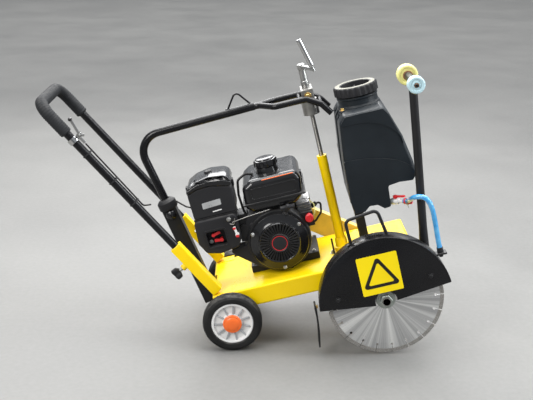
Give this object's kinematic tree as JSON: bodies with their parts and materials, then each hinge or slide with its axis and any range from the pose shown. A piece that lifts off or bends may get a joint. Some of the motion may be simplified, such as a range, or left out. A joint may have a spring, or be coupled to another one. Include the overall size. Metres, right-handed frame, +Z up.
{
  "type": "walk-behind concrete saw",
  "caption": "Walk-behind concrete saw: engine on a wheeled deck drives a guarded diamond blade by belt, with a crank-set depth leg, water tank and folding pointer.",
  "frame": {"origin": "bottom centre of the object's box, on the floor it stands on", "axes": "+X forward towards the blade, +Y to the machine's left, away from the blade, +Z up; the deck is pitched nose up by 13.5 degrees as it stands for transport"},
  "size_m": [1.2284, 0.497, 0.9356],
  "materials": {
    "bare_steel": "machined",
    "black_paint": "satin paint",
    "black_plastic": "moulded",
    "blade_steel": "ground",
    "blue_hose": "clear tube",
    "cast_aluminium": "cast",
    "gloss_plastic": "gloss",
    "grip_rubber": "soft",
    "orange_plastic": "moulded",
    "pale_blue": "moulded",
    "pale_yellow": "moulded",
    "red_plastic": "moulded",
    "rubber": "matt",
    "tank_plastic": "rotation moulded",
    "tyre": "solid rubber",
    "white_plastic": "moulded",
    "yellow_paint": "satin paint",
    "zinc": "zinc plated"
  },
  "bodies": {
    "chassis": {"chassis_deck": "yellow_paint", "rear_axle": "zinc", "near_handle_sleeve": "yellow_paint", "far_handle_sleeve": "yellow_paint", "rear_column": "black_paint", "upper_arm": "black_paint", "spindle_block": "bare_steel", "engine_crankcase": "black_plastic", "fan_housing": "black_plastic", "recoil_cover": "gloss_plastic", "air_cleaner_body": "black_plastic", "air_cleaner_cover": "gloss_plastic", "control_box": "black_plastic", "fuel_tank": "gloss_plastic", "cylinder_head": "cast_aluminium", "muffler": "black_paint", "drive_belt": "rubber", "belt_guard": "yellow_paint", "near_arbor_bearing": "cast_aluminium", "far_arbor_bearing": "cast_aluminium", "blade_guard": "black_paint", "guard_flap": "rubber", "water_tank": "tank_plastic", "water_valve": "white_plastic", "water_hose": "blue_hose", "throttle_cable_lower": "rubber"},
    "near_wheel": {"near_wheel_tyre": "tyre", "near_wheel_hub": "white_plastic", "near_wheel_cap": "orange_plastic"},
    "far_wheel": {"far_wheel_tyre": "tyre", "far_wheel_hub": "white_plastic", "far_wheel_cap": "orange_plastic"},
    "leg": {"leg_tube": "yellow_paint"},
    "near_front": {"near_front_wheel": "tyre"},
    "far_front": {"far_front_wheel": "tyre"},
    "crank": {"depth_screw": "bare_steel"},
    "crank_handle": {"crank_grip": "zinc"},
    "blade": {"arbor_shaft": "bare_steel", "saw_blade": "blade_steel", "outer_flange": "zinc"},
    "crankshaft": {"engine_shaft": "bare_steel"},
    "starter": {"starter_grip": "black_plastic"},
    "choke": {"choke_lever": "red_plastic"},
    "fuel_tap": {"fuel_lever": "red_plastic"},
    "governor": {"engine_throttle_lever": "white_plastic"},
    "switch": {"stop_switch": "red_plastic"},
    "fuel_lid": {"fuel_cap": "gloss_plastic"},
    "tank_seal": {"tank_cap_seal": "rubber"},
    "tank_lid": {"tank_cap": "black_plastic"},
    "valve": {"valve_lever": "red_plastic"},
    "pointer": {"pointer_arm": "black_paint"},
    "small_roller": {"near_roller": "pale_blue"},
    "large_roller": {"far_roller": "pale_yellow"},
    "handle": {"handle_tube": "black_paint", "handle_grip": "grip_rubber", "throttle_clamp": "zinc", "throttle_cable_upper": "rubber"},
    "throttle": {"throttle_lever": "zinc"},
    "near_knob": {"near_clamp_knob": "black_plastic"},
    "far_knob": {"far_clamp_knob": "black_plastic"}
  },
  "joints": [
    {"name": "near_wheel_turn", "type": "hinge", "parent": "chassis", "child": "near_wheel", "pos_m": [-0.0368, -0.17055, 0.09095], "axis": [0, 1, 0], "continuous": true},
    {"name": "far_wheel_turn", "type": "hinge", "parent": "chassis", "child": "far_wheel", "pos_m": [-0.0368, 0.21345, 0.09095], "axis": [0, 1, 0], "continuous": true},
    {"name": "leg_slide", "type": "slide", "parent": "chassis", "child": "leg", "axis": [-0.2334, 0, 0.9724], "range_m": [0, 0.105]},
    {"name": "near_front_turn", "type": "hinge", "parent": "leg", "child": "near_front", "pos_m": [0.36486, -0.07855, 0.04998], "axis": [0, 1, 0], "continuous": true},
    {"name": "far_front_turn", "type": "hinge", "parent": "leg", "child": "far_front", "pos_m": [0.36486, 0.12145, 0.04998], "axis": [0, 1, 0], "continuous": true},
    {"name": "crank_turn", "type": "hinge", "parent": "chassis", "child": "crank", "pos_m": [0.17307, 0.02145, 0.84888], "axis": [-0.2334, 0, 0.9724], "range_deg": [0, 7487]},
    {"name": "crank_grip_turn", "type": "hinge", "parent": "crank", "child": "crank_handle", "pos_m": [0.20796, -0.03855, 0.84492], "axis": [-0.4619, 0, 0.8869], "continuous": true},
    {"name": "blade_turn", "type": "hinge", "parent": "chassis", "child": "blade", "pos_m": [0.42345, -0.21855, 0.18293], "axis": [0, 1, 0], "continuous": true},
    {"name": "crankshaft_turn", "type": "hinge", "parent": "chassis", "child": "crankshaft", "pos_m": [0.10893, 0.21145, 0.31928], "axis": [0, 1, 0], "continuous": true},
    {"name": "starter_pull", "type": "slide", "parent": "chassis", "child": "starter", "axis": [0.1562, -0.5009, 0.8513], "range_m": [0, 0.3], "stiffness_N_per_m": 30},
    {"name": "choke_turn", "type": "hinge", "parent": "chassis", "child": "choke", "pos_m": [-0.09461, -0.08855, 0.34034], "axis": [0, 1, 0], "range_deg": [0, 30]},
    {"name": "fuel_tap_turn", "type": "hinge", "parent": "chassis", "child": "fuel_tap", "pos_m": [-0.06855, -0.08855, 0.32603], "axis": [0, 1, 0], "range_deg": [-22, 0]},
    {"name": "governor_turn", "type": "hinge", "parent": "chassis", "child": "governor", "pos_m": [-0.02079, -0.11105, 0.34984], "axis": [0, 1, 0], "range_deg": [0, 30]},
    {"name": "stop_switch_turn", "type": "hinge", "parent": "chassis", "child": "switch", "pos_m": [0.20033, -0.05805, 0.39264], "axis": [0, 1, 0], "range_deg": [0, 60]},
    {"name": "fuel_cap_lift", "type": "slide", "parent": "chassis", "child": "fuel_lid", "axis": [-0.2334, 0, 0.9724], "range_m": [0, 0.06]},
    {"name": "tank_cap_lift", "type": "slide", "parent": "chassis", "child": "tank_seal", "axis": [-0.2334, 0, 0.9724], "range_m": [0, 0.12]},
    {"name": "tank_cap_turn", "type": "hinge", "parent": "tank_seal", "child": "tank_lid", "pos_m": [0.34495, 0.02145, 0.76262], "axis": [-0.2334, 0, 0.9724], "range_deg": [0, 270]},
    {"name": "valve_turn", "type": "hinge", "parent": "chassis", "child": "valve", "pos_m": [0.45979, -0.09315, 0.45905], "axis": [-0.2334, 0, 0.9724], "range_deg": [0, 90]},
    {"name": "pointer_fold", "type": "hinge", "parent": "chassis", "child": "pointer", "pos_m": [0.54547, -0.15205, 0.31507], "axis": [0, 1, 0], "range_deg": [0, 130]},
    {"name": "small_roller_turn", "type": "hinge", "parent": "pointer", "child": "small_roller", "pos_m": [0.48734, -0.21555, 0.8292], "axis": [0, 1, 0], "continuous": true},
    {"name": "large_roller_turn", "type": "hinge", "parent": "pointer", "child": "large_roller", "pos_m": [0.48734, -0.04655, 0.8292], "axis": [0, 1, 0], "continuous": true},
    {"name": "handle_slide", "type": "slide", "parent": "chassis", "child": "handle", "axis": [-0.6607, 0, 0.7507], "range_m": [-0.012, 0.07]},
    {"name": "throttle_turn", "type": "hinge", "parent": "handle", "child": "throttle", "pos_m": [-0.48115, -0.12595, 0.66617], "axis": [0, 1, 0], "range_deg": [0, 60]},
    {"name": "near_knob_turn", "type": "hinge", "parent": "chassis", "child": "near_knob", "pos_m": [-0.17511, -0.11855, 0.25745], "axis": [-0.7507, 0, -0.6607], "range_deg": [0, 720]},
    {"name": "far_knob_turn", "type": "hinge", "parent": "chassis", "child": "far_knob", "pos_m": [-0.17511, 0.17145, 0.25745], "axis": [-0.7507, 0, -0.6607], "range_deg": [0, 720]}
  ],
  "couplings": [
    {"joint": "leg_slide", "follows": "crank_turn", "m_per_rad": 0.00079577},
    {"joint": "crankshaft_turn", "follows": "blade_turn", "ratio": 1.25},
    {"joint": "governor_turn", "follows": "throttle_turn", "ratio": 0.5}
  ]
}
